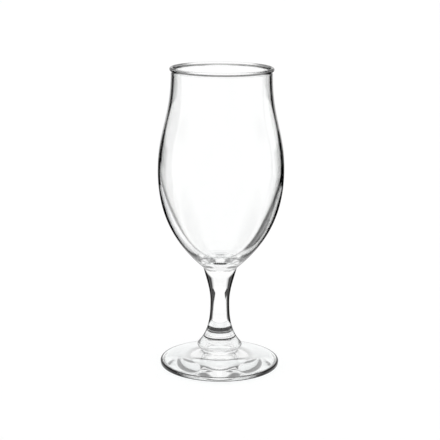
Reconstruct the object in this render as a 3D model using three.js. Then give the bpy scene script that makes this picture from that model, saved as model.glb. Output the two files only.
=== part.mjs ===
// A stemmed tulip glass for beer: a blown bowl with a beaded rim, a pressed solid stem that ends in a bell,
// and a pressed foot. The three pieces of glass are fused, one above the other, at two flat joints.
// Millimetres, +Z up. The origin is the middle of the foot's underside, on the surface that it stands on.
import * as THREE from 'three';

// Foot: its heights are above the table.
const FOOT_RADIUS = 36.9;
const FOOT_EDGE_THICKNESS = 2.6;
const FOOT_EDGE_LIFT = 0.9; // height of the edge's underside, clear of the table
const FOOT_EDGE_ROUND = 0.9; // radius of the edge's two corners
const FOOT_BOSS_HEIGHT = 11;
const FOOT_BOSS_SIDE = 1.6; // straight side of the boss, below the joint
const FOOT_SWEEP_DROP = 1; // how steeply the boss runs out into the top of the foot
const FOOT_SWEEP_REACH = 20; // how far in the top keeps the slope of its edge
const FOOT_TOP_SLOPE = 0.2; // rise over run, at the edge
const FOOT_REST_RADIUS = 32.6; // outer radius of the flat ring that the glass stands on
const FOOT_HOLLOW_RADIUS = 26.5; // inner radius of that ring
const FOOT_HOLLOW_DEPTH = 2;

// Stem: its heights are above its own lower end.
const STEM_LENGTH = 51.4;
const STEM_COLLAR_LENGTH = 0.25;
const STEM_COLLAR_SLOPE = 76; // degrees below level, where the collar runs into the stem
const STEM_COLLAR_PULL = 6.6;
const STEM_WAIST_RADIUS = 5.9;
const STEM_WAIST_HEIGHT = 29.8;
const STEM_WAIST_PULL_UP = 7.6;
const STEM_WAIST_PULL_DOWN = 10.2;
const BELL_RADIUS = 13.8;
const BELL_SLOPE = 48; // degrees above level, where the bell meets its rounded edge
const BELL_PULL = 9.9;
const BELL_EDGE_ROUND = 1.5;
const BELL_EDGE_LIFT = 0.7; // height of the bell's underside above the joint

// Joints: where two pieces are fused they share one radius and one flat face.
const BOSS_RADIUS = 11.1; // bell on boss
const COLLAR_RADIUS = 10.3; // bowl on stem

// Bowl: its heights are above its own lower end.
const BOWL_HEIGHT = 123.6;
const BOWL_COLLAR_LENGTH = 0.15;
const HEEL_SLOPE = 40.8; // degrees above level, where the bowl starts from its collar
const HEEL_PULL = 19.6;
const BELLY_RADIUS = 38.5;
const BELLY_HEIGHT = 61.1;
const BELLY_PULL_DOWN = 31.2;
const BELLY_PULL_UP = 24;
const BELLY_WALL = 1.45;
const NECK_RADIUS = 30.55;
const NECK_PULL_DOWN = 27;
const NECK_WALL = 1.35;
const BEAD_ROUND = 1.15; // radius of the rim bead's section
const BEAD_STAND_OUT = 0.95; // how far the bead stands out from the neck
const NECK_BELOW_BEAD = 2.25; // from the middle of the bead down to the narrowest place
const INSIDE_PULL_DOWN = 20.9;
const FLOOR_THICKNESS = 7.2; // from the joint up to the level floor inside
const FLOOR_RADIUS = 9.3;
const FLOOR_SLOPE = 30.4; // degrees above level, where the inside leaves the floor
const FLOOR_PULL = 17.8;

// Steps round the axis, and along the curves of the outlines.
const STEPS_ROUND = 60;
const STEPS_LONG_CURVE = 13;
const STEPS_SHORT_CURVE = 8;
const STEPS_BEAD_OUTSIDE = 9;
const STEPS_BEAD_INSIDE = 5;
const STEPS_BELL_EDGE = 8;
const STEPS_CORNER = 4;
const STEPS_RISE = 5;

const STEM_BASE = FOOT_BOSS_HEIGHT;
const BOWL_BASE = STEM_BASE + STEM_LENGTH;

const radians = THREE.MathUtils.degToRad;

// A point of an outline: its distance from the axis, and its height.
function point(radius, height) {
  return new THREE.Vector2(radius, height);
}

// A point at a distance from another, in the direction of an angle above level, away from the axis.
function offset(from, distance, degrees) {
  return point(
    from.x + distance * Math.cos(radians(degrees)),
    from.y + distance * Math.sin(radians(degrees)),
  );
}

function curve(start, startPull, endPull, end, steps) {
  return new THREE.CubicBezierCurve(start, startPull, endPull, end).getPoints(steps);
}

function arc(centre, radius, fromDegrees, toDegrees, steps) {
  const clockwise = toDegrees < fromDegrees;
  return new THREE.ArcCurve(
    centre.x,
    centre.y,
    radius,
    radians(fromDegrees),
    radians(toDegrees),
    clockwise,
  ).getPoints(steps);
}

// Turns an outline about the axis. It is drawn from the axis at the bottom round the outside to the axis at
// the top.
function turned(outline) {
  const distinct = outline.filter((p, i) => i === 0 || p.distanceTo(outline[i - 1]) > 1e-6);
  return new THREE.LatheGeometry(distinct, STEPS_ROUND).rotateX(Math.PI / 2);
}

function clearGlass(colour) {
  return new THREE.MeshStandardMaterial({
    color: colour,
    roughness: 0.03,
    metalness: 0,
    transparent: true,
    opacity: 0.35,
  });
}

function piece(name, outline, base, material) {
  const mesh = new THREE.Mesh(turned(outline), material);
  mesh.name = name;
  mesh.position.z = base;
  return mesh;
}

// The foot: a shallow hollow inside a flat resting ring, an underside that rises from the ring to the
// rounded edge, and a top that sweeps up to the boss.
function footOutline() {
  const edgeRadius = FOOT_RADIUS - FOOT_EDGE_ROUND;
  const riseMiddle = (FOOT_REST_RADIUS + edgeRadius) / 2;
  const lowCorner = point(edgeRadius, FOOT_EDGE_LIFT + FOOT_EDGE_ROUND);
  const highCorner = point(edgeRadius, FOOT_EDGE_LIFT + FOOT_EDGE_THICKNESS - FOOT_EDGE_ROUND);
  const hollow = curve(
    point(0, FOOT_HOLLOW_DEPTH),
    point(FOOT_HOLLOW_RADIUS / 2, FOOT_HOLLOW_DEPTH),
    point(FOOT_HOLLOW_RADIUS / 2, 0),
    point(FOOT_HOLLOW_RADIUS, 0),
    STEPS_SHORT_CURVE,
  );
  const rise = curve(
    point(FOOT_REST_RADIUS, 0),
    point(riseMiddle, 0),
    point(riseMiddle, FOOT_EDGE_LIFT),
    point(edgeRadius, FOOT_EDGE_LIFT),
    STEPS_RISE,
  );
  const topEdge = point(edgeRadius, FOOT_EDGE_LIFT + FOOT_EDGE_THICKNESS);
  const bossFoot = point(BOSS_RADIUS, FOOT_BOSS_HEIGHT - FOOT_BOSS_SIDE);
  const top = curve(
    topEdge,
    point(topEdge.x - FOOT_SWEEP_REACH, topEdge.y + FOOT_SWEEP_REACH * FOOT_TOP_SLOPE),
    point(bossFoot.x, bossFoot.y - FOOT_SWEEP_DROP),
    bossFoot,
    STEPS_SHORT_CURVE,
  );
  return [
    ...hollow,
    ...rise,
    ...arc(lowCorner, FOOT_EDGE_ROUND, -90, 0, STEPS_CORNER),
    ...arc(highCorner, FOOT_EDGE_ROUND, 0, 90, STEPS_CORNER),
    ...top,
    point(BOSS_RADIUS, FOOT_BOSS_HEIGHT),
    point(0, FOOT_BOSS_HEIGHT),
  ];
}

// The stem: a bell with a rounded lower edge over the joint, a slender waist, and a collar under the bowl.
function stemOutline() {
  const edgeCentre = point(BELL_RADIUS - BELL_EDGE_ROUND, BELL_EDGE_LIFT + BELL_EDGE_ROUND);
  const bellEdge = offset(edgeCentre, BELL_EDGE_ROUND, 90 - BELL_SLOPE);
  const waist = point(STEM_WAIST_RADIUS, STEM_WAIST_HEIGHT);
  const collar = point(COLLAR_RADIUS, STEM_LENGTH - STEM_COLLAR_LENGTH);
  const bell = curve(
    bellEdge,
    offset(bellEdge, BELL_PULL, 180 - BELL_SLOPE),
    point(waist.x, waist.y - STEM_WAIST_PULL_DOWN),
    waist,
    STEPS_LONG_CURVE,
  );
  const shoulder = curve(
    waist,
    point(waist.x, waist.y + STEM_WAIST_PULL_UP),
    offset(collar, STEM_COLLAR_PULL, 180 + STEM_COLLAR_SLOPE),
    collar,
    STEPS_LONG_CURVE,
  );
  return [
    point(0, 0),
    point(BOSS_RADIUS, 0),
    point(BOSS_RADIUS, BELL_EDGE_LIFT),
    ...arc(edgeCentre, BELL_EDGE_ROUND, -90, 90 - BELL_SLOPE, STEPS_BELL_EDGE),
    ...bell,
    ...shoulder,
    point(COLLAR_RADIUS, STEM_LENGTH),
    point(0, STEM_LENGTH),
  ];
}

// The bowl: up the outside from the joint, over the bead, and down the inside to its level floor.
function bowlOutline() {
  const heel = point(COLLAR_RADIUS, BOWL_COLLAR_LENGTH);
  const belly = point(BELLY_RADIUS, BELLY_HEIGHT);
  const beadCentre = point(NECK_RADIUS + BEAD_STAND_OUT - BEAD_ROUND, BOWL_HEIGHT - BEAD_ROUND);
  const neck = point(NECK_RADIUS, beadCentre.y - NECK_BELOW_BEAD);
  const insideBelly = point(BELLY_RADIUS - BELLY_WALL, BELLY_HEIGHT);
  const insideNeck = point(NECK_RADIUS - NECK_WALL, neck.y);
  const floorEdge = point(FLOOR_RADIUS, FLOOR_THICKNESS);
  const beadStart = THREE.MathUtils.radToDeg(Math.acos((NECK_RADIUS - beadCentre.x) / BEAD_ROUND));
  return [
    point(0, 0),
    point(COLLAR_RADIUS, 0),
    ...curve(
      heel,
      offset(heel, HEEL_PULL, HEEL_SLOPE),
      point(belly.x, belly.y - BELLY_PULL_DOWN),
      belly,
      STEPS_LONG_CURVE,
    ),
    ...curve(
      belly,
      point(belly.x, belly.y + BELLY_PULL_UP),
      point(neck.x, neck.y - NECK_PULL_DOWN),
      neck,
      STEPS_SHORT_CURVE,
    ),
    ...arc(beadCentre, BEAD_ROUND, -beadStart, 90, STEPS_BEAD_OUTSIDE),
    ...arc(beadCentre, BEAD_ROUND, 90, 180, STEPS_BEAD_INSIDE),
    ...curve(
      insideNeck,
      point(insideNeck.x, insideNeck.y - NECK_PULL_DOWN),
      point(insideBelly.x, insideBelly.y + BELLY_PULL_UP),
      insideBelly,
      STEPS_SHORT_CURVE,
    ),
    ...curve(
      insideBelly,
      point(insideBelly.x, insideBelly.y - INSIDE_PULL_DOWN),
      offset(floorEdge, FLOOR_PULL, FLOOR_SLOPE),
      floorEdge,
      STEPS_LONG_CURVE,
    ),
    point(0, FLOOR_THICKNESS),
  ];
}

const glass = new THREE.Group();
glass.add(
  piece('foot', footOutline(), 0, clearGlass(0xe9eeec)),
  piece('stem', stemOutline(), STEM_BASE, clearGlass(0xedf1f0)),
  piece('bowl', bowlOutline(), BOWL_BASE, clearGlass(0xf2f5f4)),
);

export default glass;
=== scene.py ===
"""A stemmed tulip beer glass in clear glass, on a plain white floor in soft studio light.

The glass is three pieces turned about one axis and fused: a blown bowl, a pressed stem and a pressed foot.
"""

import math

import bpy
import numpy as np
from mathutils import Matrix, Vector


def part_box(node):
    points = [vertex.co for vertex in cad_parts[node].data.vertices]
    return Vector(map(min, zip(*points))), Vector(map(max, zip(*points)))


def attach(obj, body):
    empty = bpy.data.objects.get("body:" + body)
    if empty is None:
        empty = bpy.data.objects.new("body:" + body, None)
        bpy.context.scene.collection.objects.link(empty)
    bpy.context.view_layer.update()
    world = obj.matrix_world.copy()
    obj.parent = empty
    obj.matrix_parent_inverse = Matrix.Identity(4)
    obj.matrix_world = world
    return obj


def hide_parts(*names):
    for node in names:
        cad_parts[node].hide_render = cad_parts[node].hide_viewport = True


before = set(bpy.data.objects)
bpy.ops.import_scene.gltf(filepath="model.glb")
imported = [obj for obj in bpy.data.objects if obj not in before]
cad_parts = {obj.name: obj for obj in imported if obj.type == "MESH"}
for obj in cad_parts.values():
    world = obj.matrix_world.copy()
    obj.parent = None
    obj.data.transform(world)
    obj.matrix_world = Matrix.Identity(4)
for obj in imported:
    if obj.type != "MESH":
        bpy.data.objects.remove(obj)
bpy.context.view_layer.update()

bl_info = {
    "name": "Stemmed beer glass",
    "version": (1, 0, 0),
    "blender": (4, 5, 0),
    "location": "3D View > Sidebar > Glass",
    "description": "Builds a stemmed tulip beer glass and the plain studio that it is shown in",
    "category": "Add Mesh",
}

MM = 0.001
DEGREES = 180 / math.pi

# Heights above the floor, and the widest radii, from the frame.
FOOT_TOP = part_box("foot")[1].z
STEM_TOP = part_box("stem")[1].z
RIM_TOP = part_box("bowl")[1].z
FOOT_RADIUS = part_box("foot")[1].x
BELLY_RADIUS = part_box("bowl")[1].x

# Steps along the curves and arcs of the outlines, and the sides of the round floor.
STEPS_BOWL_SIDE = 80
STEPS_BOWL_NECK = 60
STEPS_BEAD = 40
STEPS_STEM = 50
STEPS_BELL_EDGE = 24
STEPS_FOOT_TOP = 50
STEPS_FOOT_HOLLOW = 40
STEPS_FOOT_RISE = 24
STEPS_FOOT_CORNER = 16
FLOOR_SIDES = 96
FEWEST_STEPS_ROUND = 8
# Points of an outline that are nearer to each other than this are one point.
SAME_PLACE = 1e-7

# Stretches of height where the shade painted into the glass sets in at angles of their own, and how
# softly each one starts and ends.
WAIST_SPAN = (28 * MM, 60 * MM)
WAIST_SOFT = 3 * MM
HEEL_SPAN = (82 * MM, 112 * MM)
HEEL_SOFT = 8 * MM
# The ring is a dark line painted round the bowl under the bead: its limits start below 0, so that it is dark
# even face on.
RING_SPAN = (RIM_TOP - 1.7 * MM, RIM_TOP - 1.3 * MM)
RING_SOFT = 0.15 * MM
# The bead and the foot's outer edge do the same. START is the distance over which each of them sets in.
BEAD_START = MM
FOOT_EDGE_START = MM
FOOT_EDGE_WIDTH = 1.6 * MM

WHITE = (1.0, 1.0, 1.0, 1.0)
BLACK = (0.0, 0.0, 0.0, 1.0)
# The share of soft light that passes each surface of the glass.
SOFT_LIGHT = (0.96, 0.97, 0.97, 1.0)
# The places of a Mix node's colour sockets: the two colours that go in, and the one that comes out.
MIX_FIRST = 6
MIX_SECOND = 7
MIX_RESULT = 2
# How often light may be bent or thrown back inside the glass.
BOUNCES = 32

# The floor glows a little where it is seen, so that it is white, and it lies a hair under the glass.
FLOOR_COLOUR = (0.8, 0.8, 0.8, 1.0)
FLOOR_GLOW = 0.22
FLOOR_GAP = 0.05 * MM

# The black table top that only the glass shows. It starts at TABLE_NEAR from the axis, and lies
# between two directions, in degrees from +X towards +Y.
TABLE_NEAR = 62 * MM
TABLE_NEAR_SOFT = 0.15 * TABLE_NEAR
TABLE_FIRST = 25.0
TABLE_LAST = 152.0
TABLE_SOFT = 3.0

# White strips that cross the table, outwards from the axis. Each has its direction in degrees, half its
# width at the axis, how much that half width grows with the distance, and where it ends. Of the two paths
# to the back, the second has no width near the glass: it opens 170 mm from the axis. The slot is there
# only for light that has crossed the glass.
PAST_FLOOR = 9.0
PATHS = (
    (90.0, 35 * MM, 0.26, PAST_FLOOR),
    (90.0, -85 * MM, 0.5, PAST_FLOOR),
)
SLOT = (135.0, 44 * MM, 0.12, 0.9)
STRIP_SOFT = 10 * MM
STRIP_START = 20 * MM
STRIP_FADE = 0.85  # share of its length at which a strip starts to fade

# A painted shadow under the foot, on the floor where the glass sees it: black as far as SHADE_NEAR from
# the axis, gone at SHADE_FAR. It spreads to either side of the back, in degrees.
SHADE_NEAR = 12 * MM
SHADE_FAR = 25 * MM
SHADE_SPREAD = 90.0
SHADE_SOFT = 8.0

# The dark room that only the glass shows, above the white horizon. Its heights are sines of the angle
# above level. It lies to either side of a white window at the back, and ends at ROOM_LAST. Both are in
# degrees from the back.
ROOM_DARK = 0.8
ROOM_LOW = 0.16
ROOM_LOW_SOFT = 0.06
ROOM_TOP = 0.68
ROOM_TOP_SOFT = 0.12
ROOM_WINDOW = 14.0
ROOM_WINDOW_SOFT = 4.0
ROOM_LAST = 100.0
ROOM_LAST_SOFT = 15.0


def length(name, description, default):
    """A size in metres, shown in the file's own unit."""
    return bpy.props.FloatProperty(
        name=name, description=description, default=default, unit="LENGTH", precision=5
    )


def angle(name, description, degrees):
    """An angle, given in degrees and kept in radians."""
    return bpy.props.FloatProperty(
        name=name, description=description, default=math.radians(degrees), subtype="ANGLE"
    )


def factor(name, description, default):
    """A share from 0 to 1."""
    return bpy.props.FloatProperty(
        name=name, description=description, default=default, min=0.0, max=1.0, subtype="FACTOR"
    )


def number(name, description, default):
    """A plain number."""
    return bpy.props.FloatProperty(name=name, description=description, default=default)


def count(name, description, default):
    """A whole number of faces."""
    return bpy.props.IntProperty(
        name=name, description=description, default=default, min=FEWEST_STEPS_ROUND
    )


def colour(name, description, default):
    """A colour, in linear light."""
    return bpy.props.FloatVectorProperty(
        name=name, description=description, default=default, subtype="COLOR", min=0.0, max=1.0
    )


class GLASS_PG_bowl(bpy.types.PropertyGroup):
    """Sizes of the blown bowl. Heights are above its own lower end."""

    collar_radius: length("Collar radius", "Radius of the joint with the stem", 10.3 * MM)
    collar_length: length("Collar length", "Straight glass above the joint", 0.15 * MM)
    heel_slope: angle("Heel slope", "Slope of the bowl where it leaves the collar", 40.8)
    heel_pull: length("Heel pull", "How long the bowl keeps that slope", 19.6 * MM)
    belly_radius: length("Belly radius", "Widest radius", BELLY_RADIUS)
    belly_height: length("Belly height", "Height of the widest place", 61.1 * MM)
    belly_pull_down: length("Belly pull down", "How upright the side stays below the belly", 31.2 * MM)
    belly_pull_up: length("Belly pull up", "How upright the side stays above the belly", 24 * MM)
    belly_wall: length("Belly wall", "Thickness of glass at the belly", 1.45 * MM)
    neck_radius: length("Neck radius", "Narrowest radius, under the rim", 30.55 * MM)
    neck_pull_down: length("Neck pull down", "How upright the side stays below the neck", 27 * MM)
    neck_wall: length("Neck wall", "Thickness of glass at the neck", 1.35 * MM)
    bead_round: length("Bead radius", "Radius of the rim bead's section", 1.15 * MM)
    bead_stand_out: length("Bead stand-out", "How far the bead stands out from the neck", 0.95 * MM)
    neck_below_bead: length("Neck below bead", "From the bead's middle to the neck", 2.25 * MM)
    floor_thickness: length("Floor thickness", "From the joint to the level floor inside", 7.2 * MM)
    floor_radius: length("Floor radius", "Radius of the level floor inside", 9.3 * MM)
    floor_slope: angle("Floor slope", "Slope of the inside where it meets the level floor", 30.4)
    floor_pull: length("Floor pull", "How long the inside keeps that slope", 17.8 * MM)
    inside_pull_down: length("Inside pull down", "How upright the inside stays below the belly", 20.9 * MM)
    # Limits of the shade painted into the bowl's glass, by how far it turns from the eye.
    edge_from: factor("Edge from", "How far the side turns from the eye before it darkens", 0.66)
    edge_to: factor("Edge to", "How far the side turns from the eye until it is darkest", 0.85)
    heel_from: factor("Heel edge from", "How far the heel turns from the eye before it darkens", 0.6)
    heel_to: factor("Heel edge to", "How far the heel turns from the eye until it is darkest", 0.75)
    line_from: factor("Bead edge from", "How far the bead turns from the eye before it darkens", 0.6)
    line_to: factor("Bead edge to", "How far the bead turns from the eye until it is darkest", 0.75)
    ring_from: number("Ring from", "The same for the ring under the bead's widest place", -1.5)
    ring_to: number("Ring to", "The same for the ring under the bead's widest place", 0.45)


class GLASS_PG_stem(bpy.types.PropertyGroup):
    """Sizes of the pressed stem. Heights are above its own lower end."""

    collar_length: length("Collar length", "Straight glass under the bowl", 0.25 * MM)
    collar_slope: angle("Collar slope", "Slope below level where the collar runs into the stem", 76)
    collar_pull: length("Collar pull", "How long the stem keeps that slope", 6.6 * MM)
    waist_radius: length("Waist radius", "Narrowest radius", 5.9 * MM)
    waist_height: length("Waist height", "Height of the narrowest place", 29.8 * MM)
    waist_pull_up: length("Waist pull up", "How upright the stem stays above the waist", 7.6 * MM)
    waist_pull_down: length("Waist pull down", "How upright the stem stays below the waist", 10.2 * MM)
    bell_radius: length("Bell radius", "Widest radius of the bell", 13.8 * MM)
    bell_slope: angle("Bell slope", "Slope of the bell at its rounded edge", 48)
    bell_pull: length("Bell pull", "How long the bell keeps that slope", 9.9 * MM)
    bell_edge_round: length("Bell edge radius", "Radius of the bell's lower edge", 1.5 * MM)
    bell_edge_lift: length("Bell edge lift", "Height of the bell's underside above the joint", 0.7 * MM)
    # Limits of the shade painted into the stem's glass, by how far it turns from the eye.
    edge_from: factor("Edge from", "How far the side turns from the eye before it darkens", 0.5)
    edge_to: factor("Edge to", "How far the side turns from the eye until it is darkest", 0.8)
    line_from: factor("Waist edge from", "How far the waist turns from the eye before it darkens", 0.22)
    line_to: factor("Waist edge to", "How far the waist turns from the eye until it is darkest", 0.36)


class GLASS_PG_foot(bpy.types.PropertyGroup):
    """Sizes of the pressed foot. Heights are above the table."""

    radius: length("Radius", "Outer radius", FOOT_RADIUS)
    edge_thickness: length("Edge thickness", "Thickness of the edge", 2.6 * MM)
    edge_lift: length("Edge lift", "Height of the edge's underside above the table", 0.9 * MM)
    edge_round: length("Edge rounding", "Radius of the edge's two corners", 0.9 * MM)
    rest_radius: length("Rest radius", "Outer radius of the flat ring that it stands on", 32.6 * MM)
    boss_radius: length("Boss radius", "Radius of the joint with the stem's bell", 11.1 * MM)
    boss_side: length("Boss side", "Straight side of the boss", 1.6 * MM)
    sweep_drop: length("Sweep drop", "How steeply the boss runs out into the top", 1.0 * MM)
    sweep_reach: length("Sweep reach", "How far in the top keeps the slope of its edge", 20 * MM)
    top_slope: number("Top slope", "Rise over run of the top at its edge", 0.2)
    hollow_radius: length("Hollow radius", "Radius of the hollow underneath", 26.5 * MM)
    hollow_depth: length("Hollow depth", "Depth of the hollow underneath", 2.0 * MM)
    # Limits of the shade painted into the foot's glass, by how far it turns from the eye.
    edge_from: factor("Edge from", "How far the glass turns from the eye before it darkens", 0.82)
    edge_to: factor("Edge to", "How far the glass turns from the eye until it is darkest", 0.95)
    line_from: factor("Outer edge from", "How far the outer edge turns from the eye before it darkens", 0.0)
    line_to: factor("Outer edge to", "How far the outer edge turns from the eye until it is darkest", 0.3)


class GLASS_PG_look(bpy.types.PropertyGroup):
    """Finish of the glass, the colour of its painted edge shade, and how finely its surfaces are drawn."""

    ior: number("Index of refraction", "How strongly the glass bends light", 1.52)
    tint: colour("Tint", "Colour of light that has crossed the glass", (0.994, 0.997, 0.996))
    # Painted shade: the colour that the glass is painted where it is seen edge on.
    painted_edge_shade: colour("Edge shade", "What the glass shows where it is seen edge on", (0.0, 0.0, 0.0))
    steps_round: count("Steps round", "Faces round the axis", 192)


class GLASS_PG_studio(bpy.types.PropertyGroup):
    """The floor and the camera."""

    floor_radius: length("Floor radius", "Radius of the round floor", 6.0)
    camera_distance: length("Camera distance", "Level distance from the glass's axis", 781.7 * MM)
    camera_height: length("Camera height", "Height above the floor", 274.0 * MM)
    camera_pitch: angle("Camera pitch", "How far the camera looks down", 13.08)
    camera_roll: angle("Camera roll", "Roll of the camera about its view", 0.49)
    camera_side: length("Camera side", "How far left of the axis the camera stands", 0.36 * MM)
    camera_near: length("Camera near end", "Where the camera starts to see", 10 * MM)
    camera_lens: number("Lens", "Focal length for a 36 mm wide picture, in millimetres", 107.2)


def curve(start, start_pull, end_pull, end, steps):
    """A cubic Bezier curve: points at even values of its parameter, from four corner points."""
    t = np.linspace(0.0, 1.0, steps + 1)[:, None]
    corners = [np.array(p, float) for p in (start, start_pull, end_pull, end)]
    weights = ((1 - t) ** 3, 3 * t * (1 - t) ** 2, 3 * t**2 * (1 - t), t**3)
    return sum(w * c for w, c in zip(weights, corners))


def arc(centre, radius, start, end, steps):
    """A round arc between two angles above level, away from the axis."""
    turn = np.linspace(start, end, steps + 1)
    return np.array(centre) + radius * np.column_stack([np.cos(turn), np.sin(turn)])


def offset(point, distance, direction):
    """The point at a distance from another, in the direction of an angle above level."""
    return (point[0] + distance * math.cos(direction), point[1] + distance * math.sin(direction))


def joined(pieces):
    """Stretches of outline, end to end, without repeated points."""
    points = np.vstack([np.atleast_2d(np.array(p, float)) for p in pieces])
    steps = np.linalg.norm(np.diff(points, axis=0), axis=1)
    return points[np.concatenate([[True], steps > SAME_PLACE])]


def turned_surface(outline, base, steps_round):
    """The points of a turned outline, then its side faces and those of its bottom and top.

    X and Y are the outline's distance from the axis times the cosine and sine of even turns, and Z is its
    height above base. Its first and last point lie on the axis, and the faces next to them are
    triangles."""
    turn = np.arange(steps_round) * (2 * math.pi / steps_round)
    ring = outline[1:-1]
    x = ring[:, :1] * np.cos(turn)
    y = ring[:, :1] * np.sin(turn)
    z = np.repeat(ring[:, 1:] + base, steps_round, axis=1)
    grid = np.stack([x, y, z], axis=2).reshape(-1, 3)
    low, high = len(grid), len(grid) + 1
    ends = np.array([[0, 0, outline[0, 1] + base], [0, 0, outline[-1, 1] + base]])
    index = np.arange(len(grid)).reshape(len(ring), steps_round)
    right = np.roll(index, -1, axis=1)
    sides = np.stack([index[:-1], right[:-1], right[1:], index[1:]], axis=2).reshape(-1, 4)
    bottom = np.stack([np.full_like(index[0], low), right[0], index[0]], axis=1)
    top = np.stack([np.full_like(index[-1], high), index[-1], right[-1]], axis=1)
    return np.vstack([grid, ends]), sides, bottom, top


def turned(name, outline, base, steps_round, joints):
    """A closed piece of glass with that outline, turned about the axis.

    The flat faces at the ends named in joints take the second material."""
    vertices, sides, bottom, top = turned_surface(outline, base, steps_round)
    corners = np.concatenate([sides.ravel(), bottom.ravel(), top.ravel()])
    totals = np.concatenate([np.full(len(sides), 4), np.full(len(bottom) + len(top), 3)])
    slots = np.zeros(len(totals), np.int32)
    slots[len(sides):len(sides) + len(bottom)] = "bottom" in joints
    slots[len(sides) + len(bottom):] = "top" in joints
    mesh = bpy.data.meshes.new(name)
    mesh.vertices.add(len(vertices))
    mesh.vertices.foreach_set("co", vertices.ravel())
    mesh.loops.add(len(corners))
    mesh.loops.foreach_set("vertex_index", corners)
    mesh.polygons.add(len(totals))
    mesh.polygons.foreach_set("loop_start", np.concatenate([[0], np.cumsum(totals)[:-1]]))
    mesh.polygons.foreach_set("use_smooth", np.ones(len(totals), bool))
    mesh.polygons.foreach_set("material_index", slots)
    mesh.update(calc_edges=True)
    mesh.validate()
    piece = bpy.data.objects.new(name, mesh)
    bpy.context.scene.collection.objects.link(piece)
    return piece


class Value:
    """A number that a node gives. Sums on it add Math nodes."""

    def __init__(self, tree, socket):
        self.tree = tree
        self.socket = socket

    def maths(self, operation, first, second=0.0):
        node = self.tree.add("ShaderNodeMath", {"operation": operation}, {0: first, 1: second})
        return Value(self.tree, node.outputs[0])

    def __add__(self, other):
        return self.maths("ADD", self, other)

    def __radd__(self, other):
        return self.maths("ADD", other, self)

    def __sub__(self, other):
        return self.maths("SUBTRACT", self, other)

    def __rsub__(self, other):
        return self.maths("SUBTRACT", other, self)

    def __mul__(self, other):
        return self.maths("MULTIPLY", self, other)

    def __rmul__(self, other):
        return self.maths("MULTIPLY", other, self)

    def __pow__(self, other):
        return self.maths("POWER", self, other)

    def __abs__(self):
        return self.maths("ABSOLUTE", self)

    def larger(self, other):
        """This number or the other, whichever is larger."""
        return self.maths("MAXIMUM", self, other)

    def turn_from(self, other):
        """Degrees round the axis, from the direction of the other coordinate towards that of this one."""
        return self.maths("ARCTAN2", self, other) * DEGREES


class Tree:
    """A node tree that is being built."""

    def __init__(self, tree):
        self.tree = tree
        tree.nodes.clear()

    def add(self, kind, settings=None, sockets=None):
        """A node of that kind, with its settings made first, then its sockets set or linked."""
        node = self.tree.nodes.new(kind)
        for name, value in (settings or {}).items():
            setattr(node, name, value)
        for name, value in (sockets or {}).items():
            if isinstance(value, Value):
                self.tree.links.new(value.socket, node.inputs[name])
            elif isinstance(value, bpy.types.NodeSocket):
                self.tree.links.new(value, node.inputs[name])
            else:
                node.inputs[name].default_value = value
        return node

    def value(self, kind, output=0, settings=None, sockets=None):
        return Value(self, self.add(kind, settings, sockets).outputs[output])

    def ray(self, kind):
        """1 for light of that kind, 0 for any other."""
        return self.value("ShaderNodeLightPath", kind)

    def place(self, coordinates):
        """X, Y and Z of the place or direction that is shaded, in coordinates of that kind."""
        vector = self.add("ShaderNodeTexCoord").outputs[coordinates]
        parts = self.add("ShaderNodeSeparateXYZ", None, {0: vector})
        return [Value(self, parts.outputs[axis]) for axis in "XYZ"]

    def smooth(self, value, low, high, at_low=0.0, at_high=1.0):
        """A smooth step from at_low to at_high as the value goes from low to high."""
        return self.value(
            "ShaderNodeMapRange",
            0,
            {"interpolation_type": "SMOOTHSTEP"},
            {"Value": value, "From Min": low, "From Max": high, "To Min": at_low, "To Max": at_high},
        )


def rise(tree, value, middle, soft):
    """0 below the middle and 1 above it, with a soft step."""
    return tree.smooth(value, middle - soft, middle + soft)


def fall(tree, value, middle, soft):
    """1 below the middle and 0 above it, with a soft step."""
    return tree.smooth(value, middle - soft, middle + soft, 1.0, 0.0)


def span(tree, value, low, high, soft):
    """1 between two values, with soft ends."""
    return rise(tree, value, low, soft) * fall(tree, value, high, soft)


def blend(edge, other, share):
    """A pair of limits that goes from edge to other as the share goes from 0 to 1."""
    return tuple(first + share * (second - first) for first, second in zip(edge, other))


def new_material(name):
    """A material, and its node tree, still empty."""
    material = bpy.data.materials.new(name)
    material.use_nodes = True
    return material, Tree(material.node_tree)


def glass_material(name, look, edge):
    """Clear glass with painted shade where it is seen edge on. It lets soft light through to the floor.

    The function edge says, from the distance from the axis and the height, how far the glass has to turn from
    the eye before it darkens, and until it is darkest."""
    material, tree = new_material(name)
    x, y, z = tree.place("Object")
    # Painted shade: the colour goes from the tint to the edge shade as the glass turns from the eye, in place
    # of the dark surroundings that real glass bends and throws back.
    facing = tree.value("ShaderNodeLayerWeight", "Facing", None, {"Blend": 0.5})
    shade = tree.smooth(facing, *edge(tree, (x * x + y * y) ** 0.5, z))
    tint = tree.add(
        "ShaderNodeMix",
        {"data_type": "RGBA"},
        {"Factor": shade, MIX_FIRST: (*look.tint, 1.0), MIX_SECOND: (*look.painted_edge_shade, 1.0)},
    )
    glass = tree.add(
        "ShaderNodeBsdfPrincipled",
        None,
        {
            "Base Color": tint.outputs[MIX_RESULT],
            "Roughness": 0.0,
            "IOR": look.ior,
            "Transmission Weight": 1.0,
        },
    )
    through = tree.ray("Is Shadow Ray").larger(tree.ray("Is Diffuse Ray"))
    clear = tree.add("ShaderNodeBsdfTransparent", None, {"Color": SOFT_LIGHT})
    mixed = tree.add("ShaderNodeMixShader", None, {0: through, 1: glass.outputs[0], 2: clear.outputs[0]})
    tree.add("ShaderNodeOutputMaterial", None, {"Surface": mixed.outputs[0]})
    return material


def joint_material():
    """The inside of a fused joint, where light goes straight through."""
    name = "fused joint"
    if name in bpy.data.materials:
        return bpy.data.materials[name]
    material, tree = new_material(name)
    clear = tree.add("ShaderNodeBsdfTransparent", None, {"Color": WHITE})
    tree.add("ShaderNodeOutputMaterial", None, {"Surface": clear.outputs[0]})
    return material


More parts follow.
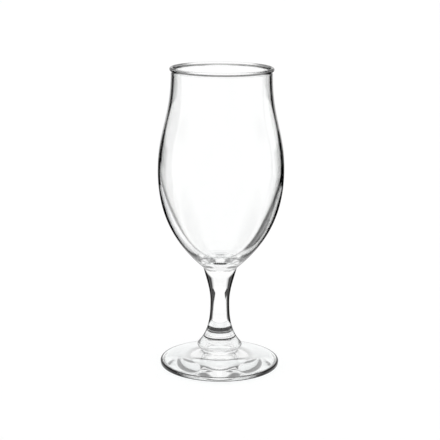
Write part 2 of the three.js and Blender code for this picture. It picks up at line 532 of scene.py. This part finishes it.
def finished(piece, node, material):
    """Gives a piece its glass and its joints, and the place of its node."""
    piece.data.materials.append(material)
    piece.data.materials.append(joint_material())
    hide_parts(node)
    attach(piece, "root")


def foot_outline(size):
    """The foot: a shallow hollow inside a flat resting ring, an underside that rises from the ring to the
    rounded edge, and a top that sweeps up to the boss."""
    edge_radius = size.radius - size.edge_round
    edge_low = (edge_radius, size.edge_lift + size.edge_round)
    edge_high = (edge_radius, size.edge_lift + size.edge_thickness - size.edge_round)
    edge_top = edge_high[1] + size.edge_round
    rise_middle = (size.rest_radius + edge_radius) / 2
    boss_foot = (size.boss_radius, FOOT_TOP - size.boss_side)
    return joined([
        curve(
            (0, size.hollow_depth),
            (size.hollow_radius / 2, size.hollow_depth),
            (size.hollow_radius / 2, 0),
            (size.hollow_radius, 0),
            STEPS_FOOT_HOLLOW,
        ),
        curve(
            (size.rest_radius, 0),
            (rise_middle, 0),
            (rise_middle, size.edge_lift),
            (edge_radius, size.edge_lift),
            STEPS_FOOT_RISE,
        ),
        arc(edge_low, size.edge_round, -math.pi / 2, 0, STEPS_FOOT_CORNER),
        arc(edge_high, size.edge_round, 0, math.pi / 2, STEPS_FOOT_CORNER),
        curve(
            (edge_radius, edge_top),
            (edge_radius - size.sweep_reach, edge_top + size.sweep_reach * size.top_slope),
            (boss_foot[0], boss_foot[1] - size.sweep_drop),
            boss_foot,
            STEPS_FOOT_TOP,
        ),
        (size.boss_radius, FOOT_TOP),
        (0, FOOT_TOP),
    ])


class GLASS_OT_foot(bpy.types.Operator):
    """Adds the pressed foot"""

    bl_idname = "glass.foot"
    bl_label = "Foot"

    def execute(self, context):
        size = context.scene.glass_foot
        look = context.scene.glass_look
        piece = turned("foot_glass", foot_outline(size), 0.0, look.steps_round, ("top",))
        edge_near = size.radius - FOOT_EDGE_WIDTH

        def edge(tree, reach, z):
            # Painted shade: the outer edge darkens at limits of its own, for a dark line round the foot.
            outer = tree.smooth(reach, edge_near, edge_near + FOOT_EDGE_START)
            return blend((size.edge_from, size.edge_to), (size.line_from, size.line_to), outer)

        finished(piece, "foot", glass_material("pressed foot glass", look, edge))
        return {"FINISHED"}


def stem_outline(size, boss_radius, collar_radius):
    """The stem: a bell with a rounded lower edge over the joint, a slender waist, and a collar under the
    bowl."""
    stem_length = STEM_TOP - FOOT_TOP
    edge_centre = (size.bell_radius - size.bell_edge_round, size.bell_edge_lift + size.bell_edge_round)
    bell_edge = offset(edge_centre, size.bell_edge_round, math.pi / 2 - size.bell_slope)
    waist = (size.waist_radius, size.waist_height)
    collar = (collar_radius, stem_length - size.collar_length)
    return joined([
        (0, 0),
        (boss_radius, 0),
        (boss_radius, size.bell_edge_lift),
        arc(edge_centre, size.bell_edge_round, -math.pi / 2, math.pi / 2 - size.bell_slope, STEPS_BELL_EDGE),
        curve(
            bell_edge,
            offset(bell_edge, size.bell_pull, math.pi - size.bell_slope),
            (waist[0], waist[1] - size.waist_pull_down),
            waist,
            STEPS_STEM,
        ),
        curve(
            waist,
            (waist[0], waist[1] + size.waist_pull_up),
            offset(collar, size.collar_pull, math.pi + size.collar_slope),
            collar,
            STEPS_STEM,
        ),
        (collar_radius, stem_length),
        (0, stem_length),
    ])


class GLASS_OT_stem(bpy.types.Operator):
    """Adds the pressed stem with its bell"""

    bl_idname = "glass.stem"
    bl_label = "Stem"

    def execute(self, context):
        size = context.scene.glass_stem
        look = context.scene.glass_look
        boss_radius = context.scene.glass_foot.boss_radius
        collar_radius = context.scene.glass_bowl.collar_radius
        outline = stem_outline(size, boss_radius, collar_radius)
        piece = turned("stem_glass", outline, FOOT_TOP, look.steps_round, ("bottom", "top"))

        def edge(tree, reach, z):
            # Painted shade: the waist darkens at limits of its own, for dark lines down the stem.
            slender = span(tree, z, *WAIST_SPAN, WAIST_SOFT)
            return blend((size.edge_from, size.edge_to), (size.line_from, size.line_to), slender)

        finished(piece, "stem", glass_material("pressed stem glass", look, edge))
        return {"FINISHED"}


def bowl_outline(size):
    """The bowl: up the outside from the joint, over the bead, and down the inside to its level floor."""
    bowl_height = RIM_TOP - STEM_TOP
    heel = (size.collar_radius, size.collar_length)
    belly = (size.belly_radius, size.belly_height)
    bead = (size.neck_radius + size.bead_stand_out - size.bead_round, bowl_height - size.bead_round)
    neck = (size.neck_radius, bead[1] - size.neck_below_bead)
    inside_belly = (size.belly_radius - size.belly_wall, size.belly_height)
    inside_neck = (size.neck_radius - size.neck_wall, neck[1])
    floor_edge = (size.floor_radius, size.floor_thickness)
    bead_start = math.acos((size.neck_radius - bead[0]) / size.bead_round)
    return joined([
        (0, 0),
        (size.collar_radius, 0),
        curve(
            heel,
            offset(heel, size.heel_pull, size.heel_slope),
            (belly[0], belly[1] - size.belly_pull_down),
            belly,
            STEPS_BOWL_SIDE,
        ),
        curve(
            belly,
            (belly[0], belly[1] + size.belly_pull_up),
            (neck[0], neck[1] - size.neck_pull_down),
            neck,
            STEPS_BOWL_NECK,
        ),
        arc(bead, size.bead_round, -bead_start, math.pi, STEPS_BEAD),
        curve(
            inside_neck,
            (inside_neck[0], inside_neck[1] - size.neck_pull_down),
            (inside_belly[0], inside_belly[1] + size.belly_pull_up),
            inside_belly,
            STEPS_BOWL_NECK,
        ),
        curve(
            inside_belly,
            (inside_belly[0], inside_belly[1] - size.inside_pull_down),
            offset(floor_edge, size.floor_pull, size.floor_slope),
            floor_edge,
            STEPS_BOWL_SIDE,
        ),
        (0, size.floor_thickness),
    ])


class GLASS_OT_bowl(bpy.types.Operator):
    """Adds the blown bowl with its beaded rim"""

    bl_idname = "glass.bowl"
    bl_label = "Bowl"

    def execute(self, context):
        size = context.scene.glass_bowl
        look = context.scene.glass_look
        piece = turned("bowl_glass", bowl_outline(size), STEM_TOP, look.steps_round, ("bottom",))
        bead_low = RIM_TOP - 2 * size.bead_round - BEAD_START

        def edge(tree, reach, z):
            # Painted shade: the heel, the bead and the ring under it darken at limits of their own.
            heel = span(tree, z, *HEEL_SPAN, HEEL_SOFT)
            bead = tree.smooth(z, bead_low, bead_low + BEAD_START)
            ring = span(tree, z, *RING_SPAN, RING_SOFT)
            limits = blend((size.edge_from, size.edge_to), (size.heel_from, size.heel_to), heel)
            limits = blend(limits, (size.line_from, size.line_to), bead)
            return blend(limits, (size.ring_from, size.ring_to), ring)

        finished(piece, "bowl", glass_material("blown bowl glass", look, edge))
        return {"FINISHED"}


def strip(tree, x, y, direction, half, widening, end):
    """1 on a strip that runs outwards from the axis, 0 beside it and past its end.

    Along is the distance in the strip's direction, and across is the distance to either side of its middle,
    less what the strip has widened by."""
    ahead = (math.cos(math.radians(direction)), math.sin(math.radians(direction)))
    along = x * ahead[0] + y * ahead[1]
    across = abs(x * ahead[1] - y * ahead[0]) - along * widening
    inside = fall(tree, across, half, STRIP_SOFT) * tree.smooth(along, 0.0, STRIP_START)
    return inside * tree.smooth(along, STRIP_FADE * end, end, 1.0, 0.0)


def table_shade(tree, x, y, through):
    """1 where the table is black and in the painted shadow under the foot, 0 where it is white. The slot
    shows only where through is 1.
    """
    reach = (x * x + y * y) ** 0.5
    shade = rise(tree, reach, TABLE_NEAR, TABLE_NEAR_SOFT)
    shade = shade * span(tree, y.turn_from(x), TABLE_FIRST, TABLE_LAST, TABLE_SOFT)
    for path in PATHS:
        shade = shade * (1 - strip(tree, x, y, *path))
    shade = shade * (1 - strip(tree, x, y, *SLOT) * through)
    back = abs(x.turn_from(y))
    # Painted shadow: the floor under the back of the foot is black where the glass sees it.
    under = tree.smooth(reach, SHADE_NEAR, SHADE_FAR, 1.0, 0.0) * fall(tree, back, SHADE_SPREAD, SHADE_SOFT)
    return shade.larger(under)


def room_shade(tree, x, y, up):
    """How dark the room is in a direction: 0 where it is white, ROOM_DARK where it is darkest."""
    back = abs(x.turn_from(y))
    window_near = ROOM_WINDOW - ROOM_WINDOW_SOFT
    window_far = ROOM_WINDOW + ROOM_WINDOW_SOFT
    shade = tree.smooth(back, window_near, window_far, 0.0, ROOM_DARK)
    shade = shade * fall(tree, back, ROOM_LAST, ROOM_LAST_SOFT)
    shade = shade * rise(tree, up, ROOM_LOW, ROOM_LOW_SOFT)
    return shade * fall(tree, up, ROOM_TOP, ROOM_TOP_SOFT)


def floor_material():
    """White and matt, with a glow where the camera or the glass sees it. It is black where the table shows
    and in the painted shadow under the foot.
    """
    material, tree = new_material("white floor")
    through = tree.ray("Is Transmission Ray")
    glass = through.larger(tree.ray("Is Glossy Ray"))
    seen = tree.ray("Is Camera Ray") + glass
    x, y, _ = tree.place("Object")
    # shade holds the black table and the painted shadow under the foot, shown only where the glass sees the
    # floor.
    shade = table_shade(tree, x, y, through)
    matt = tree.add("ShaderNodeBsdfDiffuse", None, {"Color": FLOOR_COLOUR})
    glow = tree.add("ShaderNodeEmission", None, {"Color": WHITE, "Strength": seen * FLOOR_GLOW})
    white = tree.add("ShaderNodeAddShader", None, {0: matt.outputs[0], 1: glow.outputs[0]})
    black = tree.add("ShaderNodeEmission", None, {"Color": BLACK, "Strength": 0.0})
    mixed = tree.add(
        "ShaderNodeMixShader", None, {0: glass * shade, 1: white.outputs[0], 2: black.outputs[0]}
    )
    tree.add("ShaderNodeOutputMaterial", None, {"Surface": mixed.outputs[0]})
    return material


def add_floor(scene, size):
    """The round floor: X and Y are its radius times the cosine and sine of even turns."""
    turn = np.arange(FLOOR_SIDES) * (2 * math.pi / FLOOR_SIDES)
    edge = np.column_stack([np.cos(turn), np.sin(turn), np.zeros(FLOOR_SIDES)]) * size.floor_radius
    edge[:, 2] = -FLOOR_GAP
    mesh = bpy.data.meshes.new("floor")
    mesh.from_pydata(edge.tolist(), [], [list(range(FLOOR_SIDES))])
    mesh.materials.append(floor_material())
    floor = bpy.data.objects.new("floor", mesh)
    scene.collection.objects.link(floor)


def add_world(scene):
    """White light from all round, with the dark room for the glass alone."""
    world = bpy.data.worlds.new("white studio")
    world.use_nodes = True
    scene.world = world
    tree = Tree(world.node_tree)
    plain = tree.ray("Is Camera Ray").larger(tree.ray("Is Diffuse Ray"))
    strength = 1 - (1 - plain) * room_shade(tree, *tree.place("Generated"))
    sky = tree.add("ShaderNodeBackground", None, {"Color": WHITE, "Strength": strength})
    tree.add("ShaderNodeOutputWorld", None, {"Surface": sky.outputs[0]})


def add_camera(scene, size):
    """The camera in front of the glass, pitched down from level and rolled about its view."""
    data = bpy.data.cameras.new("camera")
    data.lens = size.camera_lens
    data.clip_start = size.camera_near
    camera = bpy.data.objects.new("camera", data)
    scene.collection.objects.link(camera)
    camera.location = (-size.camera_side, -size.camera_distance, size.camera_height)
    tilt = Matrix.Rotation(math.pi / 2 - size.camera_pitch, 3, "X")
    camera.rotation_euler = (tilt @ Matrix.Rotation(size.camera_roll, 3, "Z")).to_euler()
    scene.camera = camera


class GLASS_OT_stage(bpy.types.Operator):
    """Adds the floor, the white surroundings that light it, and the camera"""

    bl_idname = "glass.stage"
    bl_label = "Stage"

    def execute(self, context):
        scene = context.scene
        scene.view_settings.view_transform = "Standard"
        scene.cycles.max_bounces = BOUNCES
        scene.cycles.transmission_bounces = BOUNCES
        scene.cycles.glossy_bounces = BOUNCES
        scene.cycles.transparent_max_bounces = BOUNCES
        add_floor(scene, scene.glass_studio)
        add_world(scene)
        add_camera(scene, scene.glass_studio)
        return {"FINISHED"}


class GLASS_PT_panel(bpy.types.Panel):
    """Lists the operators in the sidebar"""

    bl_label = "Stemmed glass"
    bl_idname = "GLASS_PT_panel"
    bl_space_type = "VIEW_3D"
    bl_region_type = "UI"
    bl_category = "Glass"

    def draw(self, context):
        for operator in OPERATORS:
            self.layout.operator(operator.bl_idname)


GROUPS = {
    "glass_bowl": GLASS_PG_bowl,
    "glass_stem": GLASS_PG_stem,
    "glass_foot": GLASS_PG_foot,
    "glass_look": GLASS_PG_look,
    "glass_studio": GLASS_PG_studio,
}
OPERATORS = (GLASS_OT_stage, GLASS_OT_foot, GLASS_OT_stem, GLASS_OT_bowl)


def register():
    for group in (*GROUPS.values(), *OPERATORS, GLASS_PT_panel):
        bpy.utils.register_class(group)
    for name, group in GROUPS.items():
        setattr(bpy.types.Scene, name, bpy.props.PointerProperty(type=group))


def unregister():
    for name in GROUPS:
        delattr(bpy.types.Scene, name)
    for group in (GLASS_PT_panel, *reversed(OPERATORS), *reversed(GROUPS.values())):
        bpy.utils.unregister_class(group)


def main():
    register()
    bpy.ops.glass.stage()
    bpy.ops.glass.foot()
    bpy.ops.glass.stem()
    bpy.ops.glass.bowl()


if __name__ == "__main__":
    main()
